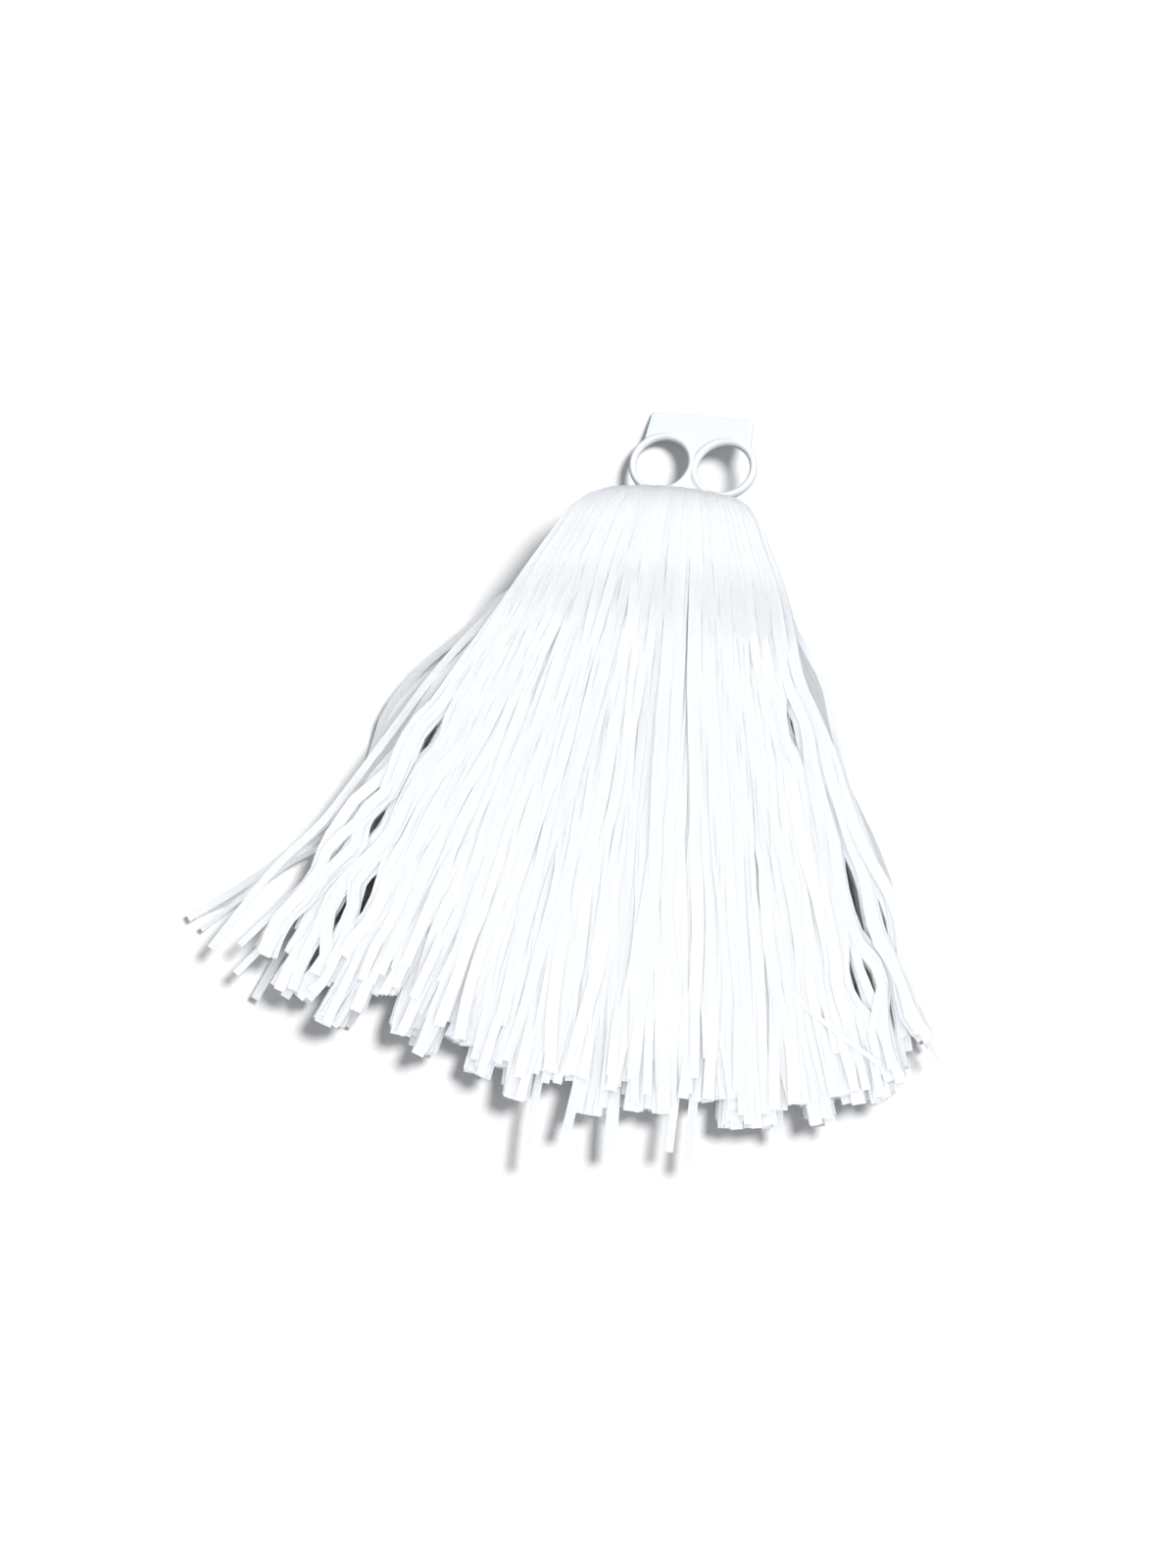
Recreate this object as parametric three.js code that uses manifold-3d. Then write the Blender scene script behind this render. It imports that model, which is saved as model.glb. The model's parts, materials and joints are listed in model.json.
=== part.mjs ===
// A tissue paper pom pom, lying on a table. A flat moulded handle with two finger rings ends in a stem.
// Sixteen tissue sheets, each slit into long strips below an uncut header, are gathered on the two faces
// of the stem and bound by one strap. Every sheet then folds back over the strap, so that its strips
// hide the binding and spread into a fan. Millimetres, +Z up, the pom pom's lowest face on z = 0.
import * as THREE from 'three';
import { mergeVertices } from 'three/addons/utils/BufferGeometryUtils.js';
import Module from 'manifold-3d';

// Handle
const fingerHoleDiameter = 25.4;
const ringBand = 3.6;
const ringHeight = 5;
const webBetweenHoles = 5.1;
const plateWidth = 50.9;
const plateFlare = 1;
const plateRise = 10.8;
const plateCornerRadius = 2.2;
const plateThickness = 3;
const edgeRounding = 0.6;
const neckWidth = 17;
const neckLength = 4.5;
const stemWidth = 12;
const footWidth = 17;
const footLength = 3.5;
const handlePitch = 22.5;
const handleRoll = 13;
const handleYaw = -6.6;

// Tissue
const sheetsPerFace = 8;
const stripsPerSheet = 11;
const sheetThickness = 0.5;
const sheetGap = 0.6;
const clearance = 0.35;
const stripWidth = 6.35;
const slitGap = 0.5;
const gatherWidth = 17;
const headerLength = 15;
const innerFoldRadius = 3.2;
const domeWidth = 116;
const domeLean = -8;
const domeDrop = 7;
const shoulderDrop = 5;
const stripLength = 258;
const fanAngleLeft = 28;
const fanAngleRight = 23.5;
const raggedness = 10;
const reachSeed = 31;
const angleSeed = 57;

// Binding strap
const strapWidth = 5;
const strapThickness = 1.2;
const strapCornerRadius = 1.2;

const handleColour = 0xf2f6fa;
const tissueColour = 0xf3f7fb;
const strapColour = 0xe6eaee;

const wasm = await Module();
wasm.setup();

const radians = THREE.MathUtils.degToRad;
const mix = THREE.MathUtils.lerp;
const holeRadius = fingerHoleDiameter / 2;
const ringRadius = holeRadius + ringBand;
const holeOffset = (fingerHoleDiameter + webBetweenHoles) / 2;
const sheetPitch = sheetThickness + sheetGap;
const sheetCount = 2 * sheetsPerFace;

// The handle's own frame has u across, v towards the plate and n out of its front face, with its
// origin midway between the finger holes. Going down v come the neck, the fold, the header and the foot.
const headerStack = plateThickness / 2 + clearance + sheetsPerFace * sheetPitch;
const pivotN = headerStack + innerFoldRadius;
const outerFoldRadius = innerFoldRadius + (sheetsPerFace - 0.5) * sheetPitch;
const neckEnd = -(ringRadius + neckLength);
const pivotV = neckEnd - outerFoldRadius;
const headerEnd = pivotV - headerLength;
const footTop = headerEnd - clearance;
const stemEnd = footTop - footLength;

// Merges a geometry's corners and makes it a solid for joining.
function toSolid(geometry) {
  const bare = geometry.clone();
  bare.deleteAttribute('normal');
  bare.deleteAttribute('uv');
  const merged = mergeVertices(bare, 1e-5);
  return new wasm.Manifold(new wasm.Mesh({
    numProp: 3,
    vertProperties: Float32Array.from(merged.attributes.position.array),
    triVerts: Uint32Array.from(merged.index.array),
  }));
}

function fromSolid(solid) {
  const { vertProperties, triVerts } = solid.getMesh();
  const geometry = new THREE.BufferGeometry();
  geometry.setAttribute('position', new THREE.BufferAttribute(vertProperties, 3));
  geometry.setIndex(new THREE.BufferAttribute(triVerts, 1));
  return geometry;
}

// Outline of the handle's flat body: plate, web, neck, stem and foot. The rings' rims cover its round
// edges, so those run inside the rims.
function bodyOutline() {
  const top = ringRadius + plateRise;
  const half = plateWidth / 2;
  const inset = ringBand / 4;
  const arcRadius = ringRadius - inset;
  const plateMeets = Math.acos((half + plateFlare - holeOffset) / arcRadius);
  const neckMeets = Math.acos((holeOffset - neckWidth / 2) / arcRadius);
  const cornerX = half - plateCornerRadius;
  const cornerY = top - plateCornerRadius;
  const stemTop = neckEnd - (neckWidth - stemWidth) / 2;
  const footTaper = footTop - (footWidth - stemWidth) / 2;
  const outline = new THREE.Shape();
  outline.moveTo(-stemWidth / 2, footTop);
  outline.lineTo(-footWidth / 2, footTaper);
  outline.lineTo(-footWidth / 2, stemEnd);
  outline.lineTo(footWidth / 2, stemEnd);
  outline.lineTo(footWidth / 2, footTaper);
  outline.lineTo(stemWidth / 2, footTop);
  outline.lineTo(stemWidth / 2, stemTop);
  outline.lineTo(neckWidth / 2, neckEnd);
  outline.absarc(holeOffset, 0, arcRadius, Math.PI + neckMeets, 2 * Math.PI + plateMeets, false);
  outline.absarc(cornerX, cornerY, plateCornerRadius, 0, Math.PI / 2, false);
  outline.absarc(-cornerX, cornerY, plateCornerRadius, Math.PI / 2, Math.PI, false);
  outline.absarc(-holeOffset, 0, arcRadius, Math.PI - plateMeets, 2 * Math.PI - neckMeets, false);
  outline.lineTo(-neckWidth / 2, neckEnd);
  outline.lineTo(-stemWidth / 2, stemTop);
  outline.closePath();
  for (const side of [-1, 1]) {
    const hole = new THREE.Path();
    hole.absarc(side * holeOffset, 0, holeRadius + inset, 0, 2 * Math.PI, true);
    outline.holes.push(hole);
  }
  return outline;
}

// The rim of a finger ring: an oval section turned about the hole, proud of both faces.
function ringRim(side) {
  const oval = new THREE.EllipseCurve(
    holeRadius + ringBand / 2, 0, ringBand / 2, ringHeight / 2, Math.PI / 8, Math.PI / 8 + 2 * Math.PI,
  );
  const rim = new THREE.LatheGeometry(oval.getPoints(8), 32);
  return rim.rotateX(Math.PI / 2).translate(side * holeOffset, 0, 0);
}

// The whole handle, moulded in one piece, in its own frame.
function handleGeometry() {
  const body = new THREE.ExtrudeGeometry(bodyOutline(), {
    depth: plateThickness - 2 * edgeRounding,
    curveSegments: 16,
    bevelEnabled: true,
    bevelThickness: edgeRounding,
    bevelSize: edgeRounding,
    bevelOffset: -edgeRounding,
    bevelSegments: 1,
  });
  body.translate(0, 0, edgeRounding - plateThickness / 2);
  return fromSolid([-1, 1].reduce((solid, side) => solid.add(toSolid(ringRim(side))), toSolid(body)));
}

function roundedRectangle(path, halfWidth, halfHeight, radius) {
  path.absarc(halfWidth - radius, halfHeight - radius, radius, 0, Math.PI / 2, false);
  path.absarc(radius - halfWidth, halfHeight - radius, radius, Math.PI / 2, Math.PI, false);
  path.absarc(radius - halfWidth, radius - halfHeight, radius, Math.PI, 1.5 * Math.PI, false);
  path.absarc(halfWidth - radius, radius - halfHeight, radius, 1.5 * Math.PI, 2 * Math.PI, false);
  path.closePath();
  return path;
}

// A flat strap round both stacks of headers, half way down them.
function strapGeometry() {
  const innerWidth = gatherWidth / 2 + clearance;
  const innerHeight = headerStack;
  const outline = roundedRectangle(
    new THREE.Shape(), innerWidth + strapThickness, innerHeight + strapThickness, strapCornerRadius,
  );
  outline.holes.push(roundedRectangle(new THREE.Path(), innerWidth, innerHeight, strapCornerRadius / 4));
  const strap = new THREE.ExtrudeGeometry(outline, {
    depth: strapWidth, curveSegments: 3, bevelEnabled: false,
  });
  return strap.rotateX(Math.PI / 2).translate(0, (pivotV + headerEnd + strapWidth) / 2, 0);
}

// The handle lies pitched and rolled, with a corner of its plate on the table.
const handleBody = handleGeometry();
const lean = new THREE.Matrix4().makeRotationFromEuler(
  new THREE.Euler(radians(-handlePitch), radians(-handleRoll), radians(handleYaw), 'XYZ'),
);
const leaning = handleBody.clone().applyMatrix4(lean);
leaning.computeBoundingBox();
const handlePlace = lean.clone().setPosition(0, 0, -leaning.boundingBox.min.z);
const pivot = new THREE.Vector3(0, pivotV, 0).applyMatrix4(handlePlace);

// A repeatable scatter from -1 to 1 for a pair of counts.
function scatter(a, b) {
  const value = Math.sin(a * 127.1 + b * 311.7) * 43758.5453;
  return 2 * (value - Math.floor(value)) - 1;
}

// Rows of a sheet's fold: the turn from the header, the distance on past the pivot, the share of the
// spread from the gathered width to the dome's, and how far the row has left the leaning handle's
// frame for the level one that the fan lies in.
const slitRow = { turn: 0, beyond: 0, spread: 0, level: 0 };
const shoulderRow = { turn: 180, beyond: headerLength + footLength + 1, spread: 1, level: 0.7 };
const foldRows = [
  { turn: 75, beyond: 0, spread: 0.4, level: 0.1 },
  { turn: 150, beyond: 0, spread: 0.75, level: 0.35 },
  shoulderRow,
];

function rowHalfWidth(row) {
  return mix(gatherWidth, domeWidth, row.spread) / 2;
}

// Inner and outer points of a sheet in a row of its fold, at a distance across from the handle's middle.
function foldPoints(row, face, level, across) {
  const turn = radians(row.turn);
  const side = ((across - domeLean * row.spread) / rowHalfWidth(row)) ** 2 * row.spread;
  const points = [-0.5, 0.5].map((step) => {
    const ring = innerFoldRadius + (level + 0.5) * sheetPitch + step * sheetThickness;
    const along = ring * Math.sin(turn) - row.beyond - shoulderDrop * side;
    const out = face * (pivotN - ring * Math.cos(turn) - domeDrop * side);
    const leaningPoint = new THREE.Vector3(across, pivotV + along, out).applyMatrix4(handlePlace);
    return leaningPoint.lerp(new THREE.Vector3(across, along, out).add(pivot), row.level);
  });
  return { inner: points[0], outer: points[1] };
}

// The header's free end lies flat on the stem, below the strap.
function headerPoints(face, level, across) {
  return foldPoints({ ...slitRow, beyond: headerLength }, face, level, across);
}

// Rows of the fan: the share of a strip's length at which the row crosses the fan, how high the lower
// half floats there in the middle and how much more at the sides, and how far the halves stand apart in
// the middle and how much less at the sides.
const fanRows = [
  { share: 0.17, floor: 8, lift: 2, room: 9, sag: 5 },
  { share: 0.5, floor: 0, lift: 0, room: 5, sag: 0 },
  { share: 1.2, floor: 0, lift: 0, room: 0, sag: 0 },
];
const fanTop = pivot.y - shoulderRow.beyond;
const rowY = (row) => fanTop - row.share * stripLength;

// Place across the fan, from -1 on its left edge to 1 on its right.
function placeInFan(x, y) {
  const down = fanTop - y;
  const left = domeLean - domeWidth / 2 - down * Math.tan(radians(fanAngleLeft));
  const right = domeLean + domeWidth / 2 + down * Math.tan(radians(fanAngleRight));
  return THREE.MathUtils.clamp(2 * (x - left) / (right - left) - 1, -1, 1);
}

// Inner and outer points of a sheet in the fan, on the straight run between two of its rows. The sides
// flatten out towards the fan's edges.
function fanPoints(upper, face, level, x, y) {
  const square = placeInFan(x, y) ** 2;
  const side = square * (2 - square);
  const way = (rowY(fanRows[upper]) - y) / (rowY(fanRows[upper]) - rowY(fanRows[upper + 1]));
  const [near, far] = [fanRows[upper], fanRows[upper + 1]];
  const floor = mix(near.floor + near.lift * side, far.floor + far.lift * side, way);
  const room = mix(near.room - near.sag * side, far.room - far.sag * side, way);
  const inner = face < 0
    ? floor + (sheetsPerFace - level) * sheetPitch - sheetGap
    : floor + (sheetsPerFace + level) * sheetPitch + room;
  return {
    inner: new THREE.Vector3(x, y, inner),
    outer: new THREE.Vector3(x, y, inner + face * sheetThickness),
  };
}

// Loose first strips that stand away from the fan's left side, by sheet: the angle from straight down
// the fan, the length from the shoulder, and how far they bow out on the way. The next strips of the
// sheet are drawn after them by a share of that turn.
const strays = new Map([
  [1, { angle: -38.5, reach: 246, bow: 12 }],
  [3, { angle: -34, reach: 240, bow: 6 }],
  [5, { angle: -36.5, reach: 247, bow: 9 }],
  [8, { angle: -32.5, reach: 250, bow: 4 }],
  [10, { angle: -40.5, reach: 246, bow: 14 }],
]);
const drawnAfter = [1, 0.75, 0.4];

// Longer strips that hang out of the fan's lower edge, as sheet and strip with the extra length.
const longStrips = new Map([
  ['3,4', 34],
  ['9,5', 23],
  ['12,6', 25],
]);

// Course of a strip from its middle on the shoulder: its angle, its length and its outward bow.
function course(sheet, strip, even) {
  const stray = strays.get(sheet);
  if (stray && strip === 0) return stray;
  const stepAngle = (fanAngleLeft + fanAngleRight) / stripsPerSheet;
  const pull = stray ? (drawnAfter[strip] ?? 0) * (stray.angle + fanAngleLeft) : 0;
  const extra = longStrips.get(`${sheet},${strip}`) ?? raggedness * scatter(sheet + reachSeed, strip);
  const angle = even + pull + 0.3 * stepAngle * scatter(sheet, strip + angleSeed);
  return { angle, reach: stripLength + extra, bow: 0 };
}

// Sections of one strip in the rows of the fan and at its tip. As far as the first row the strips keep
// their even spread, and from there each takes its own course.
function fanSections(sheet, strip, face, level, shoulder, width) {
  const even = mix(-fanAngleLeft, fanAngleRight, (strip + 0.5) / stripsPerSheet);
  const { angle, reach, bow } = course(sheet, strip, even);
  const start = shoulder.left.inner.clone().add(shoulder.right.inner).multiplyScalar(0.5);
  const section = (upper, x, y, stepX, stepY) => ({
    left: fanPoints(upper, face, level, x - stepX, y - stepY),
    right: fanPoints(upper, face, level, x + stepX, y + stepY),
  });
  const [firstY, middleY] = fanRows.map(rowY);
  const firstX = start.x + (start.y - firstY) * Math.tan(radians(even));
  const tipX = start.x + reach * Math.sin(radians(angle));
  const tipY = start.y - reach * Math.cos(radians(angle));
  const turn = Math.atan2(tipX - firstX, firstY - tipY);
  const middleX = mix(firstX, tipX, (firstY - middleY) / (firstY - tipY)) - bow;
  return [
    section(0, firstX, firstY, width / 2 / Math.cos(radians(even)), 0),
    section(1, middleX, middleY, width / 2 / Math.cos(turn), 0),
    section(1, tipX, tipY, width / 2 * Math.cos(turn), width / 2 * Math.sin(turn)),
  ];
}

// A closed sheet, slit into strips from row slitFrom on. rows[r][i] holds the corners of strip i's
// section: strips share their edges above the slits, and have walls of their own below.
function slitSheet(rows, slitFrom, mirrored) {
  const positions = [];
  const triangle = (a, b, c) => {
    for (const point of mirrored ? [a, c, b] : [a, b, c]) positions.push(point.x, point.y, point.z);
  };
  const quad = (a, b, c, d) => {
    triangle(a, b, c);
    triangle(a, c, d);
  };
  const last = rows.length - 1;
  const lastStrip = rows[0].length - 1;
  rows[0].forEach((first, strip) => {
    const tip = rows[last][strip];
    quad(first.left.inner, first.left.outer, first.right.outer, first.right.inner);
    quad(tip.left.inner, tip.right.inner, tip.right.outer, tip.left.outer);
    for (let row = 0; row < last; row += 1) {
      const near = rows[row][strip];
      const far = rows[row + 1][strip];
      quad(near.left.outer, far.left.outer, far.right.outer, near.right.outer);
      quad(near.left.inner, near.right.inner, far.right.inner, far.left.inner);
      if (row >= slitFrom || strip === lastStrip) {
        quad(near.right.inner, near.right.outer, far.right.outer, far.right.inner);
      }
      if (row >= slitFrom || strip === 0) {
        quad(near.left.inner, far.left.inner, far.left.outer, near.left.outer);
      }
    }
  });
  const geometry = new THREE.BufferGeometry();
  geometry.setAttribute('position', new THREE.Float32BufferAttribute(positions, 3));
  return mergeVertices(geometry, 1e-5);
}

// One slit sheet. Sheets are counted from the table up, and levels from the stem out. Each sheet's
// strips are staggered against its neighbours', so that no slit shows through the stack.
function sheetGeometry(sheet) {
  const face = sheet < sheetsPerFace ? -1 : 1;
  const level = face < 0 ? sheetsPerFace - 1 - sheet : sheet - sheetsPerFace;
  const strips = Array.from({ length: stripsPerSheet }, (_, strip) => strip);
  const edge = (strip) => gatherWidth * (strip / stripsPerSheet - 0.5);
  const golden = (Math.sqrt(5) - 1) / 2;
  const stagger = 0.7 * ((sheet * golden) % 1 - 0.5);
  const rows = [headerPoints, (...place) => foldPoints(slitRow, ...place)].map((points) => (
    strips.map((strip) => ({
      left: points(face, level, edge(strip)),
      right: points(face, level, edge(strip + 1)),
    }))
  ));
  for (const row of foldRows) {
    const half = rowHalfWidth(row);
    const step = 2 * half / stripsPerSheet;
    const halfStrip = Math.min(stripWidth, step - slitGap) / 2;
    rows.push(strips.map((strip) => {
      const middle = domeLean * row.spread - half + step * (strip + 0.5 + stagger * row.spread);
      return {
        left: foldPoints(row, face, level, middle - halfStrip),
        right: foldPoints(row, face, level, middle + halfStrip),
      };
    }));
  }
  const width = Math.min(stripWidth, domeWidth / stripsPerSheet - slitGap);
  const shoulder = rows.at(-1);
  const fans = strips.map((strip) => fanSections(sheet, strip, face, level, shoulder[strip], width));
  fanRows.forEach((_, index) => rows.push(fans.map((sections) => sections[index])));
  return slitSheet(rows, 1, face < 0);
}

function named(name, geometry, color, roughness) {
  const material = new THREE.MeshStandardMaterial({ color, roughness, metalness: 0, flatShading: true });
  const mesh = new THREE.Mesh(geometry, material);
  mesh.name = name;
  return mesh;
}

const held = new THREE.Group();
held.applyMatrix4(handlePlace);
held.add(named('handle', handleBody, handleColour, 0.35));
held.add(named('binding_strap', strapGeometry(), strapColour, 0.4));

const pompom = new THREE.Group();
pompom.add(held);
for (let sheet = 0; sheet < sheetCount; sheet += 1) {
  const number = String(sheet + 1).padStart(2, '0');
  pompom.add(named(`tissue_sheet_${number}`, sheetGeometry(sheet), tissueColour, 0.85));
}

// The pom pom stands over the origin, with its lowest face on the table.
const bounds = new THREE.Box3().setFromObject(pompom, true);
const centre = bounds.getCenter(new THREE.Vector3());
pompom.position.set(-centre.x, -centre.y, -bounds.min.z);

export default pompom;
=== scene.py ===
"""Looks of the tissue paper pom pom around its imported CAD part.

The tissue is built again strip by strip: each sheet is nine pleated plies of eleven narrow strips, its
header bound on the stem, and every strip folds back over the binding and runs out into the fan. The
handle is built again with its moulded roundings. Lengths in the tissue's functions are millimetres in the
part's frame, and those in the settings, the handle's outline and rims and the stage are metres.
"""

import json
import math

import bpy
import numpy as np
from bpy.props import FloatProperty, FloatVectorProperty, IntProperty, PointerProperty
from mathutils import Euler, Matrix, Vector

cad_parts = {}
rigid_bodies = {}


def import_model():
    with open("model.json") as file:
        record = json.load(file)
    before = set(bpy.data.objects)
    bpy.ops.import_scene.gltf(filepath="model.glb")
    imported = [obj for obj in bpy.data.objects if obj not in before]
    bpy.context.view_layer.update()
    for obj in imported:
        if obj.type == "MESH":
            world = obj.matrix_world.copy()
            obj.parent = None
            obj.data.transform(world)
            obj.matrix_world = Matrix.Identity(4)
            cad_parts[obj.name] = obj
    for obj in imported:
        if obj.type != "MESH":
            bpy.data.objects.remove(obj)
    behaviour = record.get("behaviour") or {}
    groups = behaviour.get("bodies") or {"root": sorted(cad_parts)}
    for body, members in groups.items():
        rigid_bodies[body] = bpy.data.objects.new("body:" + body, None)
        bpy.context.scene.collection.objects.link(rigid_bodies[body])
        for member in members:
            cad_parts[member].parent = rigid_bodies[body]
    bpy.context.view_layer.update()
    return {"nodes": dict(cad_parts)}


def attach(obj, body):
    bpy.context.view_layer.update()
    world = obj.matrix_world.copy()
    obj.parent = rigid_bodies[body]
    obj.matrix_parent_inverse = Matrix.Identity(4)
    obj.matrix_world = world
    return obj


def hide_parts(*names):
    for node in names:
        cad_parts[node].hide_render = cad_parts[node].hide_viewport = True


bl_info = {
    "name": "Tissue Paper Pom Pom",
    "version": (1, 0, 0),
    "blender": (4, 5, 0),
    "location": "View3D > Sidebar > Pom Pom",
    "description": "Builds a pom pom of slit tissue strips on a moulded finger ring handle",
    "category": "Object",
}

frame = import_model()

MM = 0.001
SHEETS_PER_FACE = 8
SHEET_COUNT = 2 * SHEETS_PER_FACE

# How the handle lies: pitched, rolled and turned, in degrees
HANDLE_PITCH = -22.5
HANDLE_ROLL = -13
HANDLE_YAW = -6.6

# The fold, row by row down a strip: the turn from the header in degrees, how much further down than the
# turn alone puts it the row lies, in millimetres, the share of the spread from the gathered width to the
# dome's, and how far the row has left the leaning handle's frame for the level one
FOLD_ROWS = np.array([
    (0, 15, 0.00, 0.00),
    (0, 0, 0.00, 0.00),
    (40, 0, 0.15, 0.00),
    (80, 0, 0.33, 0.10),
    (120, 0, 0.50, 0.25),
    (160, 0, 0.69, 0.42),
    (180, 8, 0.85, 0.55),
    (180, 19.5, 1.00, 0.70),
])

# Shares of the way from the shoulder to the tip at which a strip has its other control rows
FAN_SHARES = np.array([0.12, 0.22, 0.33, 0.44, 0.55, 0.67, 0.79, 0.90, 1.0])

# Knots are nominal distances down a strip from the header's end, in millimetres: those of the fold's rows,
# the last of them at the shoulder, then the tip's, and those at which the finished strip has its rows
FOLD_KNOTS = (0, 15, 20, 25, 30, 35, 44, 56)
SHOULDER_KNOT = FOLD_KNOTS[-1]
TIP_KNOT = 315
FAN_SPAN = TIP_KNOT - SHOULDER_KNOT
CONTROL_KNOTS = np.concatenate([FOLD_KNOTS, SHOULDER_KNOT + FAN_SPAN * FAN_SHARES])
ROW_KNOTS = np.concatenate([[0, 13], np.linspace(17, SHOULDER_KNOT, 11), np.linspace(64, TIP_KNOT, 24)])

# How much further down and how much lower the dome's sides lie than its middle, in millimetres
SIDE_SETBACK = 5
SIDE_DROP = 7

# Heights in the fan, in millimetres at shares of the way from the shoulder to the tip: how high the lower
# half floats in the middle and how much more at the sides, how far the upper half stands clear of it in
# the middle and how much less at the sides, the hump below the dome, and then how close the upper sheets
# lie, as a share of their pitch
FLOOR_HEIGHT = ((0.17, 0.5, 1.2), (8, 0, 0))
FLOOR_AT_SIDES = ((0.17, 0.5), (2, 0))
ROOM_HEIGHT = ((0.17, 0.5, 1.2), (9, 5, 0))
ROOM_AT_SIDES = ((0.17, 0.5), (5, 0))
HUMP_HEIGHT = ((0, 0.12, 0.22, 0.33, 0.5, 0.7), (6, 5.5, 4, 2.5, 1, 0))
CLOSENESS = ((0.17, 0.5, 1.2), (1, 0.55, 0.45))

# Lower edge of the fan from left to right, where the tips of the longest common strips are. It and all
# places in plan below are in millimetres from the fold's pivot
TIP_X = (-184, -165, -144, -108, -83, -58, -20, 0, 28, 56, 84, 101, 118, 131, 139)
TIP_Y = (-244, -250, -256, -261, -273, -282, -287, -291, -289, -287, -283, -283, -280, -268, -252)

# Dark slits where the strips part: the middle, half the length, half the width, and the angle from
# straight down the fan, in degrees
PARTINGS = (
    (69.1, -71.4, 23.3, 1.9, 22),
    (61.8, -91.0, 7.4, 1.9, 22),
    (100.2, -171.8, 19.1, 2.6, 25),
    (114.1, -178.2, 13.7, 1.9, 20),
    (104.0, -210.0, 8.6, 2.4, 27),
    (109.9, -207.1, 9.3, 1.9, 29),
    (136.8, -241.8, 9.3, 2.4, 29),
    (-110.4, -111.3, 6.3, 2.1, -22),
    (-136.9, -132.2, 6.3, 1.7, -31),
    (-138.9, -147.3, 16.4, 1.9, -27),
    (-132.6, -153.7, 5.6, 2.4, -30),
    (-149.0, -167.7, 5.8, 2.1, -28),
    (-135.6, -189.8, 11.3, 3.3, -21),
    (-147.0, -201.3, 7.4, 2.1, -40),
    (-169.6, -211.8, 9.8, 2.1, -14),
    (-156.4, -220.9, 7.4, 2.1, -22),
)

# How far past a slit's ends its sides still bend, in millimetres, and how far to each side strips are
# pressed together, as a multiple of the way that the nearest one moves
SLIT_EASE = 9
SLIT_CROWD = 5

# Loose strips with a way of their own, as sheet, ply and strip, all counted from 0, share of the width,
# and the places past the shoulder
LOOSE_STRIPS = (
    (1, 2, 0, 0.6, (
        (-79, -39), (-94, -54), (-109, -68), (-128, -88), (-135, -104), (-135, -120),
        (-158, -154), (-184, -182), (-220, -208),
    )),
    (10, 1, 0, 0.6, (
        (-79, -40), (-91, -56), (-105, -71), (-127, -106), (-135, -120), (-159, -156),
        (-177, -176), (-192, -198), (-207, -221),
    )),
    (10, 3, 0, 0.5, (
        (-77, -41), (-89, -59), (-100, -71), (-113, -89), (-132, -130), (-145, -158),
        (-163, -185), (-183, -207), (-193, -218),
    )),
    (8, 2, 0, 0.55, (
        (-74, -42), (-85, -58), (-96, -72), (-116, -104), (-140, -137), (-149, -161),
        (-155, -187), (-179, -214), (-194, -232),
    )),
    (5, 1, 0, 0.4, (
        (-79, -39), (-92, -59), (-108, -86), (-127, -114), (-149, -154), (-159, -174),
        (-178, -179), (-194, -195), (-213, -213),
    )),
    (5, 3, 0, 0.65, (
        (-72, -41), (-82, -58), (-95, -76), (-116, -111), (-134, -143), (-151, -171),
        (-165, -201), (-177, -228), (-184, -244),
    )),
    (3, 1, 0, 0.5, (
        (-81, -38), (-97, -58), (-111, -82), (-129, -113), (-139, -132), (-161, -160),
        (-186, -185), (-205, -202), (-218, -207),
    )),
    (12, 2, 10, 0.45, (
        (52, -34), (57, -43), (72, -62), (80, -84), (86, -107), (101, -139),
        (114, -167), (125, -209), (145, -244),
    )),
    (6, 2, 10, 0.45, (
        (51, -34), (58, -51), (70, -74), (83, -98), (94, -123), (113, -153),
        (121, -180), (125, -213), (142, -239),
    )),
    (15, 7, 7, 0.35, (
        (35, -45), (40, -83), (44, -121), (49, -158), (56, -198), (70, -215),
        (87, -229), (103, -239), (118, -248),
    )),
)

# Strips that hang out of the lower edge, as sheet, ply and strip, counted the same, and the tip's place
LONG_STRIPS = (
    (11, 2, 4, -48, -309),
    (14, 0, 4, -30, -294),
    (9, 1, 5, -5, -302),
    (12, 3, 6, 24, -299),
    (13, 1, 6, 35, -304),
    (10, 5, 8, 70, -286),
)

# Waves that all sheets share, so that the strips gather in tufts: the number across one radian of the
# fan, the number down its length, and the height in millimetres
TUFTS = (
    (5, 0.4, 0.7),
    (13, 0.9, 0.4),
    (29, 1.6, 0.2),
)

# The tufts at the tips: how many, their least and greatest width, and how far left of the lower edge the
# first one starts, in millimetres
TUFT_COUNT = 60
TUFT_WIDTHS = (4, 12)
TUFT_MARGIN = 20

# How far a tip is scattered sideways from its even place, in millimetres
TIP_SCATTER = 7

# How many sine waves along a strip make its wander, its rise and fall, its roll and its camber
WANDER_WAVES = (0.6, 1.3, 2.6, 5.2)
RISE_WAVES = (2.3, 4.7)
ROLL_WAVES = (0.4, 1.3, 4.1)
CAMBER_WAVES = 1.4

# Height over the table below which the tufts flatten, in millimetres
TABLE_CALM = 6

# Where the strips' own waves begin, where a strip's face turns from the leaning handle's to the level
# one, and where the pleats open: a knot and the distance over which each comes in
WAVES_FROM = (30, 60)
LEVEL_FROM = (20, 60)
OPEN_FROM = (12, 30)

# Edges of a strip that turn by more than this stay sharp
SHARP_ANGLE = math.radians(45)

# How close the finishes' patterns are, as waves to a millimetre: the tissue's creases across and along a
# strip, its fibres, drawn coarser than real ones so that they show, and the grain that a mould leaves
CREASES_ACROSS = 0.9
CREASES_ALONG = 0.06
FIBRES = 1.4
MOULD_GRAIN = 0.9

# Points round a ring's rim and round its section
RIM_POINTS = 96
SECTION_POINTS = 24

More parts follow.
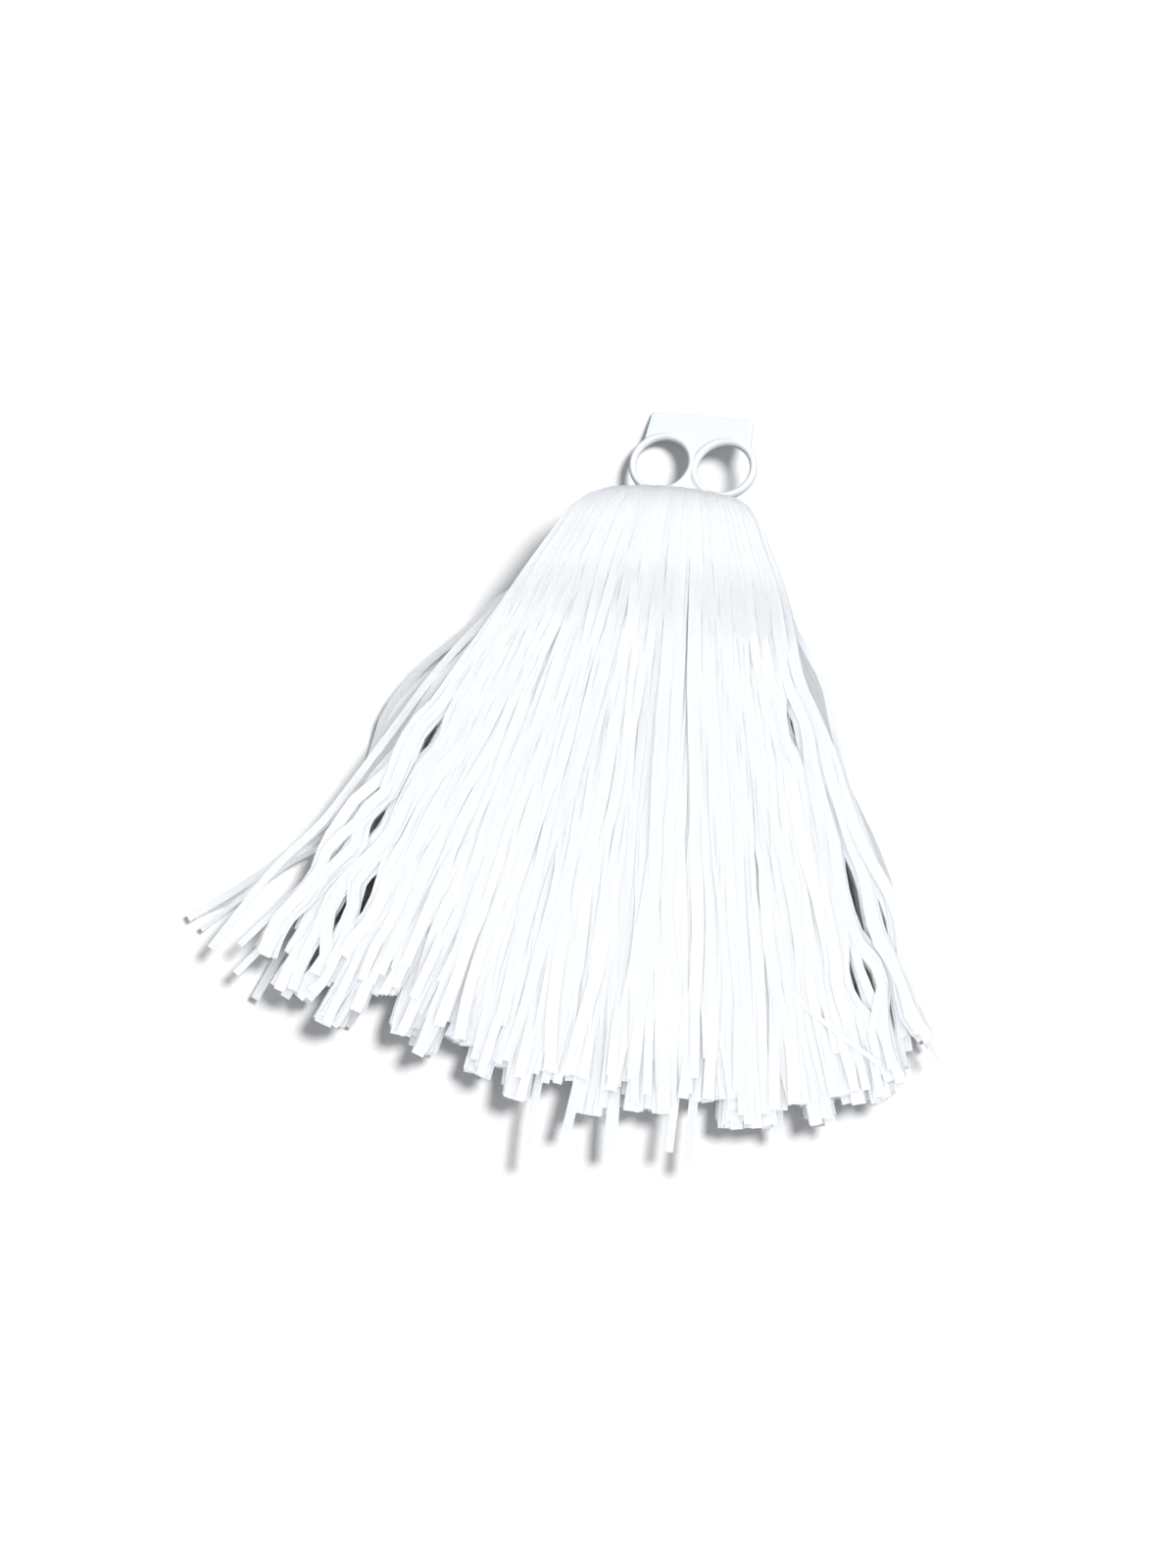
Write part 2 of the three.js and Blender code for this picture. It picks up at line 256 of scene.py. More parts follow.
# The table's reach to each side, the lamps' distance and the end of the camera's view, in metres
TABLE_REACH = 8
LAMP_DISTANCE = 2
VIEW_END = 50


def eased(values, start, length):
    """Blend weight from 0 to 1 that eases in and out as values pass from start over the length."""
    share = np.clip((values - start) / length, 0, 1)
    return share * share * (3 - 2 * share)


def smooth_curve(points, knots, samples):
    """Places along curves that run through their control points.

    points holds one curve a row, with its control points at the distances in knots. Between two of them
    the curve is the cubic with their places and slopes, a slope being that of the parabola through the
    point and its neighbours.
    """
    gaps = np.diff(knots)
    chords = np.diff(points, axis=1) / gaps[:, None]
    before = gaps[:-1, None]
    after = gaps[1:, None]
    inner = (chords[:, :-1] * after + chords[:, 1:] * before) / (before + after)
    slopes = np.concatenate([chords[:, :1], inner, chords[:, -1:]], axis=1)
    part = np.clip(np.searchsorted(knots, samples, side="right") - 1, 0, len(gaps) - 1)
    way = ((samples - knots[part]) / gaps[part])[:, None]
    gap = gaps[part][:, None]
    return (
        (1 + 2 * way) * (1 - way) ** 2 * points[:, part]
        + way * (1 - way) ** 2 * gap * slopes[:, part]
        + way ** 2 * (3 - 2 * way) * points[:, part + 1]
        + way ** 2 * (way - 1) * gap * slopes[:, part + 1]
    )


def lying_handle():
    """Turn of the lying handle as a 3 x 3 matrix, and the point midway between its finger holes, in
    millimetres."""
    turn = (
        Matrix.Rotation(math.radians(HANDLE_PITCH), 3, "X")
        @ Matrix.Rotation(math.radians(HANDLE_ROLL), 3, "Y")
        @ Matrix.Rotation(math.radians(HANDLE_YAW), 3, "Z")
    )
    turn = np.array(turn)
    mesh = frame["nodes"]["handle"].data
    places = np.zeros(3 * len(mesh.vertices), np.float32)
    mesh.vertices.foreach_get("co", places)
    own = places.reshape(-1, 3) / MM @ turn
    settings = bpy.context.scene.pompom_handle
    top = (settings.hole_diameter / 2 + settings.ring_band + settings.plate_rise) / MM
    middle = (own.min(0) + own.max(0)) / 2
    middle[1] = own[:, 1].max() - top
    return turn, turn @ middle


def closed_mesh(name, places, faces, uv, tone):
    """A new object from arrays: corner places in metres, four-sided faces, a uv place for each face
    corner, and a tone for each vertex."""
    mesh = bpy.data.meshes.new(name)
    mesh.vertices.add(len(places))
    mesh.vertices.foreach_set("co", places.astype(np.float32).ravel())
    mesh.loops.add(faces.size)
    mesh.loops.foreach_set("vertex_index", faces.astype(np.int32).ravel())
    mesh.polygons.add(len(faces))
    mesh.polygons.foreach_set("loop_start", np.arange(0, faces.size, 4, dtype=np.int32))
    mesh.update(calc_edges=True)
    mesh.validate()
    mesh.uv_layers.new(name="UVMap").uv.foreach_set("vector", uv.astype(np.float32).ravel())
    mesh.attributes.new("tone", "FLOAT", "POINT").data.foreach_set("value", tone.astype(np.float32).ravel())
    mesh.shade_smooth()
    mesh.set_sharp_from_angle(angle=SHARP_ANGLE)
    made = bpy.data.objects.new(name, mesh)
    bpy.context.scene.collection.objects.link(made)
    return made


def ribbon_object(name, middle, across, out, half_width, camber, half_thickness, tone):
    """All strips of a sheet as one object.

    middle, across and out hold a place and two directions for each strip and row. A row's section has
    six points: left edge, middle and right edge of the upper face, and the same back along the lower
    face. The middle stands proud by the camber.
    """
    count, rows = middle.shape[:2]
    side = np.array([-1, 0, 1, 1, 0, -1])
    face = np.array([1, 1, 1, -1, -1, -1])
    lift = camber[..., None] * (1 - side ** 2) + half_thickness * face
    places = (
        middle[:, :, None]
        + across[:, :, None] * (half_width[..., None] * side)[..., None]
        + out[:, :, None] * lift[..., None]
    )
    places[..., 2] = np.maximum(places[..., 2], half_thickness * (1 + face))
    index = np.arange(count * rows * len(side)).reshape(count, rows, len(side))
    onward = np.roll(index, -1, axis=2)
    walls = np.stack([index[:, :-1], onward[:, :-1], onward[:, 1:], index[:, 1:]], axis=-1).reshape(-1, 4)
    caps = np.concatenate([
        index[:, 0][:, [0, 5, 4, 1]],
        index[:, 0][:, [1, 4, 3, 2]],
        index[:, -1][:, [0, 1, 4, 5]],
        index[:, -1][:, [1, 2, 3, 4]],
    ])
    faces = np.concatenate([walls, caps])
    steps = np.linalg.norm(np.diff(middle, axis=1), axis=2)
    along = np.concatenate([np.zeros((count, 1)), np.cumsum(steps, axis=1)], axis=1)
    width = half_width.max()
    chart = np.stack(np.broadcast_arrays(
        (side * width)[None, None] + 4 * width * np.arange(count)[:, None, None], along[..., None],
    ), axis=-1).reshape(-1, 2)
    tones = np.broadcast_to(tone[:, None, None], index.shape).ravel()
    return closed_mesh(name, places.reshape(-1, 3) * MM, faces, chart[faces] * MM, tones)


def fan_height(face, level, x, y, settings):
    """Height of a sheet in the fan.

    Near the dome the lower half floats a little and the upper half stands clear of it, less so at the
    sides, and both settle towards the tips, where the uppermost sheets lie closest together.
    """
    down = -FOLD_ROWS[-1, 1] - y
    dome_width = settings.dome_width / MM
    dome_lean = settings.dome_lean / MM
    left = dome_lean - dome_width / 2 - down * math.tan(settings.fan_left)
    right = dome_lean + dome_width / 2 + down * math.tan(settings.fan_right)
    place = np.clip(2 * (x - left) / (right - left) - 1, -1, 1) ** 2
    side = place * (2 - place)
    share = down / (settings.strip_length / MM)
    floor = np.interp(share, *FLOOR_HEIGHT) + np.interp(share, *FLOOR_AT_SIDES) * side
    room = np.interp(share, *ROOM_HEIGHT) - np.interp(share, *ROOM_AT_SIDES) * side
    pitch = settings.sheet_pitch / MM
    lower = floor + (SHEETS_PER_FACE - level) * pitch
    hump = np.interp(share, *HUMP_HEIGHT)
    rise = hump * (0.75 + 0.25 * level / SHEETS_PER_FACE) * (1 - 0.4 * place)
    packed = np.interp(share, *CLOSENESS)
    upper = floor + (2 * SHEETS_PER_FACE - (SHEETS_PER_FACE - level) * packed) * pitch + room + rise
    return np.where(face < 0, lower, upper)


def tuft_height(x, y, settings):
    """Height of the waves that all sheets share, by a place's direction and distance from the pivot.

    Each is a sine wave across the fan, and its crests bend by a slower one on their way down. The numbers
    that are multiplied by its place in the table only set the waves apart.
    """
    direction = np.arctan2(x, -y)
    distance = np.hypot(x, y) / (settings.strip_length / MM)
    height = 0
    for number, (around, down, size) in enumerate(TUFTS):
        bend = 0.35 * np.sin(2 * np.pi * down * distance + 1.7 * number)
        height = height + size * np.sin(2 * np.pi * around * direction + 2.4 * number + 3 * bend)
    return height


def tufted_tips(x, settings):
    """How far tip places move sideways into tufts, and how far the lower edge falls short there.

    The width is cut into cells of random width with a random shortness each, the same for all sheets, and
    the tips of a cell draw together towards its middle.
    """
    random = np.random.default_rng(settings.seed)
    edges = TIP_X[0] - TUFT_MARGIN + np.cumsum(random.uniform(*TUFT_WIDTHS, TUFT_COUNT))
    short = settings.notch / MM * random.uniform(0, 1, len(edges))
    cell = np.clip(np.searchsorted(edges, x), 1, len(edges) - 1)
    middle = (edges[cell - 1] + edges[cell]) / 2
    return settings.tufting * (middle - x), short[cell]


def along_course(start, course, shares):
    """Places at shares of the way along the straight runs from start through a course's points."""
    points = np.concatenate([start[None], np.array(course, float)])
    reached = np.concatenate([[0], np.cumsum(np.linalg.norm(np.diff(points, axis=0), axis=1))])
    return np.stack([np.interp(shares * reached[-1], reached, points[:, axis]) for axis in (0, 1)])


def part_strips(x, y, half_strip):
    """Moves strips in plan sideways around the slits, so that a lens-shaped gap opens there.

    A strip keeps to the side that it is on at the slit's middle, and the strips there are pressed
    together over a few strip widths.
    """
    rows = np.arange(len(x))
    for middle_x, middle_y, half_length, half_gap, angle in PARTINGS:
        lean = math.radians(angle)
        along = (x - middle_x) * math.sin(lean) - (y - middle_y) * math.cos(lean)
        aside = (x - middle_x) * math.cos(lean) + (y - middle_y) * math.sin(lean)
        nearest = np.abs(along).argmin(axis=1)
        side = np.where(aside[rows, nearest] < 0, -1, 1)[:, None]
        beside = side * aside
        lens = np.clip(1 - (along / (half_length + SLIT_EASE)) ** 2, 0, 1) ** 1.2
        half = (half_gap + half_strip) * lens
        far = SLIT_CROWD * (half_gap + half_strip)
        pressed = half * np.clip(1 - beside / far, 0, 1)
        push = side * np.where(beside < 0, half - beside * lens, pressed)
        push = np.where(np.abs(beside) < far, push, 0)
        x = x + push * math.cos(lean)
        y = y + push * math.sin(lean)
    return x, y


def own_strips(table, sheet, settings):
    """A table's rows of single strips in the sheet, each as the strip's number there and its rest."""
    return [
        (ply * settings.strips + strip, rest)
        for of_sheet, ply, strip, *rest in table
        if of_sheet == sheet and ply < settings.plies and strip < settings.strips
    ]


def fold_control(across, level, face, settings):
    """Control places of a sheet's strips in the fold, and the fold's pivot in plan.

    A strip lies along the stem in the handle's own frame and turns about the pivot on an arc, whose radius
    grows with its level. On the way it spreads from the gathered width to the dome's and comes level.
    """
    turn, origin = lying_handle()
    handle = bpy.context.scene.pompom_handle
    pitch = settings.sheet_pitch / MM
    inner_radius = settings.fold_radius / MM
    pivot_v = -settings.neck_end / MM - inner_radius - (SHEETS_PER_FACE - 0.5) * pitch
    pivot_n = (handle.thickness / 2 + handle.header_gap) / MM + SHEETS_PER_FACE * pitch + inner_radius
    pivot = turn @ np.array([0, pivot_v, 0]) + origin
    row_turn, beyond, spread, leaves = FOLD_ROWS.T
    row_turn = np.radians(row_turn)
    gather = settings.gather_width / MM
    dome = settings.dome_width / MM
    radius = inner_radius + level[:, None] * pitch * (1 + (settings.puff - 1) * np.sin(row_turn))
    place = 2 * across[:, None] - 1
    u = settings.dome_lean / MM * spread + place * (gather + (dome - gather) * spread) / 2
    droop = place ** 2 * spread
    v = radius * np.sin(row_turn) - beyond - SIDE_SETBACK * droop
    n = face * (pivot_n - radius * np.cos(row_turn) - SIDE_DROP * droop)
    leaning = np.stack([u, pivot_v + v, n], axis=-1) @ turn.T + origin
    levelled = np.stack([u, v, n], axis=-1) + pivot
    return leaning + (levelled - leaning) * leaves[:, None], np.array([pivot[0], pivot[1], 0])


def fan_control(sheet, shoulder, across, settings, random):
    """Control places of a sheet's strips in the fan, in plan, with a mark for each loose strip and the
    share of its width that each strip shows.

    Tips are scattered along the lower edge and drawn into tufts. A strip runs straight from the shoulder
    to its tip, or along its own course, and wanders by a few sine waves with random phases.
    """
    count = len(across)
    inside = np.clip(8 * across * (1 - across), 0, 1)
    tip_x = TIP_X[0] + (TIP_X[-1] - TIP_X[0]) * across + inside * random.normal(0, TIP_SCATTER, count)
    gathered, notch = tufted_tips(tip_x, settings)
    tip_y = np.interp(tip_x, TIP_X, TIP_Y) + notch
    reach = 1 - settings.raggedness * random.uniform(0, 1, count) ** 2.5
    for at, tip in own_strips(LONG_STRIPS, sheet, settings):
        tip_x[at], tip_y[at] = tip
        reach[at] = 1
        gathered[at] = 0
    way = FAN_SHARES * reach[:, None]
    x = shoulder[:, :1] + (tip_x[:, None] - shoulder[:, :1]) * way
    x = x + gathered[:, None] * eased(FAN_SHARES, 0.78, 0.22)
    y = shoulder[:, 1:2] + (tip_y[:, None] - shoulder[:, 1:2]) * way
    loose = np.zeros(count, bool)
    shown = random.uniform(0.6, 1, count)
    for at, (width, course) in own_strips(LOOSE_STRIPS, sheet, settings):
        loose[at] = True
        shown[at] = width
        x[at], y[at] = along_course(shoulder[at, :2], course, FAN_SHARES)
    wander = settings.wander / MM * FAN_SHARES ** 0.8
    steady = np.where(loose, 0.15, 1)[:, None]
    for waves in WANDER_WAVES:
        phase = random.uniform(0, 2 * np.pi, (count, 1))
        x = x + wander / waves ** 0.8 * steady * np.sin(2 * np.pi * waves * FAN_SHARES + phase)
    return x, y, loose, shown


def strip_directions(middle, face, share, free, settings, random):
    """Directions across the strips and out of their faces, rolled about each strip by a few sine waves."""
    turn = lying_handle()[0]
    forward = np.gradient(middle, ROW_KNOTS, axis=1)
    forward /= np.linalg.norm(forward, axis=2, keepdims=True)
    level_share = eased(ROW_KNOTS, *LEVEL_FROM)[:, None]
    reference = turn[:, 0] * (1 - level_share) + np.array([1.0, 0, 0]) * level_share
    side = reference - (reference * forward).sum(2, keepdims=True) * forward
    side /= np.linalg.norm(side, axis=2, keepdims=True)
    outward = face * np.cross(side, -forward)
    side = face * side
    roll = np.zeros(middle.shape[:2])
    for waves in ROLL_WAVES:
        phase = random.uniform(0, 2 * np.pi, (len(middle), 1))
        size = random.normal(0, settings.roll, (len(middle), 1)) / (0.6 + waves)
        roll += size * (0.25 + 0.75 * free) * np.sin(2 * np.pi * waves * share + phase)
    cosine = np.cos(roll)[..., None]
    sine = np.sin(roll)[..., None]
    return side * cosine + outward * sine, outward * cosine - side * sine


def sheet_strips(sheet, settings):
    """One sheet's strips: middles, directions, half widths, cambers and tones.

    Each strip runs from the header end up the stem, round the fold and over the shoulder, and from there
    towards its own tip. It wanders, waves, rolls and curls by a few sine waves with random phases.
    """
    random = np.random.default_rng(settings.seed + sheet)
    face = -1 if sheet < SHEETS_PER_FACE else 1
    base_level = SHEETS_PER_FACE - 1 - sheet if face < 0 else sheet - SHEETS_PER_FACE
    plies = settings.plies
    strips = settings.strips
    count = plies * strips
    ply = np.repeat(np.arange(plies), strips)
    strip = np.tile(np.arange(strips), plies)
    level = base_level + (ply + 0.5) / plies
    # Plies are staggered by the golden section, so that their strips don't line up
    golden = (math.sqrt(5) - 1) / 2
    stagger = ((sheet * plies + ply) * golden) % 1 - 0.5
    across = np.clip((strip + 0.5 + stagger + random.uniform(-0.15, 0.15, count)) / strips, 0.01, 0.99)

    # The strip's own curve, through the fold and the fan
    fold, away = fold_control(across, level, face, settings)
    x, y, loose, shown = fan_control(sheet, fold[:, -1] - away, across, settings, random)
    fan = np.stack([x, y, fan_height(face, level[:, None], x, y, settings)], axis=-1) + away
    middle = smooth_curve(np.concatenate([fold, fan], axis=1), CONTROL_KNOTS, ROW_KNOTS)
    share = np.clip((ROW_KNOTS - SHOULDER_KNOT) / FAN_SPAN, 0, 1)
    free = eased(ROW_KNOTS, *WAVES_FROM)

    # Slits where the strips part
    from_pivot = middle - away
    opened_x, opened_y = part_strips(from_pivot[..., 0], from_pivot[..., 1], settings.strip_width / MM / 4)
    bound = loose[:, None] | (ROW_KNOTS < SHOULDER_KNOT)
    middle[..., 0] = np.where(bound, middle[..., 0], opened_x + away[0])
    middle[..., 1] = np.where(bound, middle[..., 1], opened_y + away[1])

    # Tufts that all sheets share, small waves of each strip and its tip's curl
    above_table = np.clip(middle[..., 2] / TABLE_CALM, 0.1, 1)
    middle[..., 2] += free * above_table * tuft_height(from_pivot[..., 0], from_pivot[..., 1], settings)
    for waves in RISE_WAVES:
        phase = random.uniform(0, 2 * np.pi, (count, 1))
        size = random.uniform(0.3, 1, (count, 1)) * settings.wave / MM / waves * 2
        middle[..., 2] += size * free * np.sin(2 * np.pi * waves * share + phase)
    curl = random.normal(0, settings.curl / MM, (count, 1)) * eased(share, 0.7, 0.3) ** 2
    middle[..., 2] += np.abs(curl) if face > 0 else curl
    side, outward = strip_directions(middle, face, share, free, settings, random)

    # Pleated narrow in the header, as wide as it shows past the fold, and creased along the middle
    opening = eased(ROW_KNOTS, *OPEN_FROM)
    pleated = settings.gather_width / MM / strips
    half_width = pleated * (1 - opening) + settings.strip_width / MM / 2 * shown[:, None] * opening
    phase = random.uniform(0, 2 * np.pi, (count, 1))
    camber = opening * settings.camber / MM * np.sin(2 * np.pi * CAMBER_WAVES * share + phase)
    tone = random.uniform(0, 1, count)
    return middle, side, outward, half_width, camber, tone


def linear(hexadecimal):
    """Linear colour, with full opacity, of an sRGB colour written as RRGGBB."""
    levels = [int(hexadecimal[at:at + 2], 16) / 255 for at in (0, 2, 4)]
    return [level / 12.92 if level <= 0.04045 else ((level + 0.055) / 1.055) ** 2.4 for level in levels] + [1]


def add_node(tree, kind, inputs=None, **settings):
    """A new shader node with the settings, and with each input set to a value or linked to a socket."""
    node = tree.nodes.new(kind)
    for name, value in settings.items():
        setattr(node, name, value)
    for name, value in (inputs or {}).items():
        if isinstance(value, bpy.types.NodeSocket):
            tree.links.new(value, node.inputs[name])
        else:
            node.inputs[name].default_value = value
    return node


def new_material(name):
    """An empty node material and its tree."""
    material = bpy.data.materials.new(name)
    material.use_nodes = True
    material.node_tree.nodes.clear()
    return material, material.node_tree


def tissue_material(settings):
    """White tissue: matt, a little see-through, with fine creases along the strip and fibres in the sheet."""
    material, tree = new_material("white_tissue_paper")
    tone = add_node(tree, "ShaderNodeAttribute", attribute_name="tone")
    shade = add_node(tree, "ShaderNodeMix", {
        "Factor": tone.outputs["Fac"], "A": settings.dark_colour, "B": settings.light_colour,
    }, data_type="RGBA")
    chart = add_node(tree, "ShaderNodeUVMap", uv_map="UVMap")
    stretched = add_node(tree, "ShaderNodeMapping", {
        "Vector": chart.outputs["UV"], "Scale": (CREASES_ACROSS / MM, CREASES_ALONG / MM, 1),
    })
    creases = add_node(tree, "ShaderNodeTexNoise", {
        "Vector": stretched.outputs["Vector"], "Scale": 1, "Detail": 3, "Roughness": 0.55,
    })
    fibres = add_node(tree, "ShaderNodeTexNoise", {
        "Vector": chart.outputs["UV"], "Scale": FIBRES / MM, "Detail": 2, "Roughness": 0.6,
    })
    creased = add_node(tree, "ShaderNodeBump", {
        "Strength": 0.5, "Distance": 0.0006, "Height": creases.outputs["Fac"],
    })
    bumped = add_node(tree, "ShaderNodeBump", {
        "Strength": 0.25,
        "Distance": 0.0002,
        "Height": fibres.outputs["Fac"],
        "Normal": creased.outputs["Normal"],
    })
    paper = add_node(tree, "ShaderNodeBsdfPrincipled", {
        "Base Color": shade.outputs["Result"],
        "Roughness": 0.85,
        "Specular IOR Level": 0.25,
        "Normal": bumped.outputs["Normal"],
    })
    through = add_node(tree, "ShaderNodeBsdfTranslucent", {
        "Color": shade.outputs["Result"], "Normal": bumped.outputs["Normal"],
    })
    both = add_node(tree, "ShaderNodeMixShader", {
        "Fac": 0.42, 1: paper.outputs["BSDF"], 2: through.outputs["BSDF"],
    })
    add_node(tree, "ShaderNodeOutputMaterial", {"Surface": both.outputs["Shader"]})
    return material


def plastic_material(name, colour, roughness, grain):
    """Moulded plastic of one colour: an even satin sheen, broken up by a faint grain from the mould."""
    material, tree = new_material(name)
    place = add_node(tree, "ShaderNodeTexCoord")
    noise = add_node(tree, "ShaderNodeTexNoise", {
        "Vector": place.outputs["Object"], "Scale": MOULD_GRAIN / MM, "Detail": 2, "Roughness": 0.5,
    })
    bump = add_node(tree, "ShaderNodeBump", {
        "Strength": grain, "Distance": 0.0002, "Height": noise.outputs["Fac"],
    })
    plastic = add_node(tree, "ShaderNodeBsdfPrincipled", {
        "Base Color": colour, "Roughness": roughness, "IOR": 1.49, "Normal": bump.outputs["Normal"],
    })
    add_node(tree, "ShaderNodeOutputMaterial", {"Surface": plastic.outputs["BSDF"]})
    return material


class TissueSettings(bpy.types.PropertyGroup):
    """Sizes and colours of the tissue sheets, and how their strips lie."""

    plies: IntProperty(
        name="Plies", description="Pleated layers of strips in a sheet", default=9, min=1)
    strips: IntProperty(
        name="Strips", description="Strips in each layer", default=11, min=2)
    strip_width: FloatProperty(
        name="Strip Width", description="Distance between two slits", default=0.00635, unit="LENGTH")
    strip_length: FloatProperty(
        name="Strip Length", description="Strip from the shoulder to its tip", default=0.258, unit="LENGTH")
    header_length: FloatProperty(
        name="Header Length", description="Uncut band that is bound to the stem",
        default=0.015, unit="LENGTH")
    thickness: FloatProperty(
        name="Thickness", description="Thickness of a strip", default=0.00012, unit="LENGTH", precision=5)
    sheet_pitch: FloatProperty(
        name="Sheet Pitch", description="Distance from sheet to sheet", default=0.0011, unit="LENGTH")
    gather_width: FloatProperty(
        name="Gather Width", description="Width of the gathered header", default=0.017, unit="LENGTH")
    neck_end: FloatProperty(
        name="Neck End", description="From the finger holes' middle to the fold",
        default=0.0208, unit="LENGTH")
    fold_radius: FloatProperty(
        name="Fold Radius", description="Radius of the innermost fold", default=0.0032, unit="LENGTH")
    puff: FloatProperty(
        name="Puff", description="How much looser the outer sheets fold than they lie", default=1.25)
    dome_width: FloatProperty(
        name="Dome Width", description="Width across the shoulder", default=0.116, unit="LENGTH")
    dome_lean: FloatProperty(
        name="Dome Lean", description="Sideways shift of the shoulder", default=-0.008, unit="LENGTH")
    fan_left: FloatProperty(
        name="Fan Left", description="Angle of the fan's left side",
        default=math.radians(28), subtype="ANGLE")
    fan_right: FloatProperty(
        name="Fan Right", description="Angle of the fan's right side",
        default=math.radians(24), subtype="ANGLE")
    raggedness: FloatProperty(
        name="Raggedness", description="Most that a strip falls short, as a share",
        default=0.09, subtype="FACTOR")
    notch: FloatProperty(
        name="Notch", description="Depth of the notches in the lower edge", default=0.026, unit="LENGTH")
    tufting: FloatProperty(
        name="Tufting", description="How far the tips draw together in tufts", default=0.5, subtype="FACTOR")
    camber: FloatProperty(
        name="Camber", description="Crease along the middle of a strip",
        default=0.0002, unit="LENGTH", precision=4)
    wander: FloatProperty(
        name="Wander", description="Sideways wander of a strip", default=0.0022, unit="LENGTH")
    wave: FloatProperty(
        name="Wave", description="Rise and fall of a strip", default=0.0003, unit="LENGTH", precision=4)
    curl: FloatProperty(
        name="Curl", description="Lift of the tips", default=0.002, unit="LENGTH")
    roll: FloatProperty(
        name="Roll", description="Turn of a strip about its length",
        default=math.radians(5), subtype="ANGLE")
    seed: IntProperty(
        name="Seed", description="Seed of the strips' scatter", default=4)
    dark_colour: FloatVectorProperty(
        name="Dark Colour", description="Colour of the darkest strips",
        default=linear("F9FBFD"), size=4, min=0, max=1, subtype="COLOR")
    light_colour: FloatVectorProperty(
        name="Light Colour", description="Colour of the lightest strips",
        default=linear("FCFDFE"), size=4, min=0, max=1, subtype="COLOR")


class HandleSettings(bpy.types.PropertyGroup):
    """Sizes and colour of the moulded handle."""

    hole_diameter: FloatProperty(
        name="Hole Diameter", description="Diameter of a finger hole", default=0.0254, unit="LENGTH")
    ring_band: FloatProperty(
        name="Ring Band", description="Width of a ring's rim", default=0.0036, unit="LENGTH")
    ring_height: FloatProperty(
        name="Ring Height", description="Height of a ring's rim", default=0.005, unit="LENGTH")
    web: FloatProperty(
        name="Web", description="Web between the two holes", default=0.0051, unit="LENGTH")
    plate_width: FloatProperty(
        name="Plate Width", description="Width of the plate's top edge", default=0.0509, unit="LENGTH")
    plate_flare: FloatProperty(
        name="Plate Flare", description="Flare of each side down to its ring", default=0.001, unit="LENGTH")
    plate_rise: FloatProperty(
        name="Plate Rise", description="Height of the plate above the rings", default=0.0108, unit="LENGTH")
    corner: FloatProperty(
        name="Corner", description="Corner radius of the plate", default=0.0022, unit="LENGTH")
    thickness: FloatProperty(
        name="Thickness", description="Thickness of the plate", default=0.003, unit="LENGTH")
    rounding: FloatProperty(
        name="Rounding", description="Rounding of the edges", default=0.0006, unit="LENGTH")
    neck_width: FloatProperty(
        name="Neck Width", description="Width of the neck", default=0.017, unit="LENGTH")
    stem_width: FloatProperty(
        name="Stem Width", description="Width of the bound stem", default=0.012, unit="LENGTH")
    foot_width: FloatProperty(
        name="Foot Width", description="Width of the foot below the headers", default=0.017, unit="LENGTH")
    foot_length: FloatProperty(
        name="Foot Length", description="Length of the foot below the headers", default=0.0035, unit="LENGTH")
    header_gap: FloatProperty(
        name="Header Gap", description="Room between the headers and the stem and foot",
        default=0.00035, unit="LENGTH", precision=5)
    fineness: FloatProperty(
        name="Fineness", description="Size of the finished surface's cells", default=0.0005, unit="LENGTH")
    colour: FloatVectorProperty(
        name="Colour", description="Colour of the moulding",
        default=linear("F5F9FD"), size=4, min=0, max=1, subtype="COLOR")


class StrapSettings(bpy.types.PropertyGroup):
    """Finish of the strap round the headers."""

    colour: FloatVectorProperty(
        name="Colour", description="Colour of the strap",
        default=linear("E9EDF0"), size=4, min=0, max=1, subtype="COLOR")


class StageSettings(bpy.types.PropertyGroup):
    """Camera, light and table."""

    view_height: FloatProperty(
        name="View Height", description="Height of the picture on the table", default=0.76, unit="LENGTH")
    distance: FloatProperty(
        name="Distance", description="Height of the camera", default=2.0, unit="LENGTH")
    aim_x: FloatProperty(
        name="Aim X", description="Where the camera looks, from the finger holes' middle",
        default=-0.0369, unit="LENGTH")
    aim_y: FloatProperty(
        name="Aim Y", description="Where the camera looks, from the finger holes' middle",
        default=-0.1564, unit="LENGTH")
    turn: FloatProperty(
        name="Turn", description="Turn of the camera about its view",
        default=math.radians(5), subtype="ANGLE")
    sun_height: FloatProperty(
        name="Sun Height", description="Angle of the light above the table",
        default=math.radians(60), subtype="ANGLE")
    sun_side: FloatProperty(
        name="Sun Side", description="Direction of the light in plan, from the right of the picture",
        default=math.radians(41), subtype="ANGLE")
    sun_spread: FloatProperty(
        name="Sun Spread", description="Softness of the light", default=math.radians(16), subtype="ANGLE")
    sun_strength: FloatProperty(
        name="Sun Strength", description="Strength of the light", default=2.75)
    soft_height: FloatProperty(
        name="Soft Height", description="Angle of the tissue's light above the table",
        default=math.radians(84), subtype="ANGLE")
    soft_spread: FloatProperty(
        name="Soft Spread", description="Softness of the light on the tissue",
        default=math.radians(140), subtype="ANGLE")
    soft_strength: FloatProperty(
        name="Soft Strength", description="Strength of the light on the tissue", default=3.0)
    sky_strength: FloatProperty(
        name="Sky Strength", description="Strength of the light from all round", default=0.3)
    sky_colour: FloatVectorProperty(
        name="Sky Colour", description="Colour of the light from all round",
        default=linear("FAFCFF"), size=4, min=0, max=1, subtype="COLOR")
    table_colour: FloatVectorProperty(
        name="Table Colour", description="Colour that the table has in the picture",
        default=linear("FFFFFF"), size=4, min=0, max=1, subtype="COLOR")


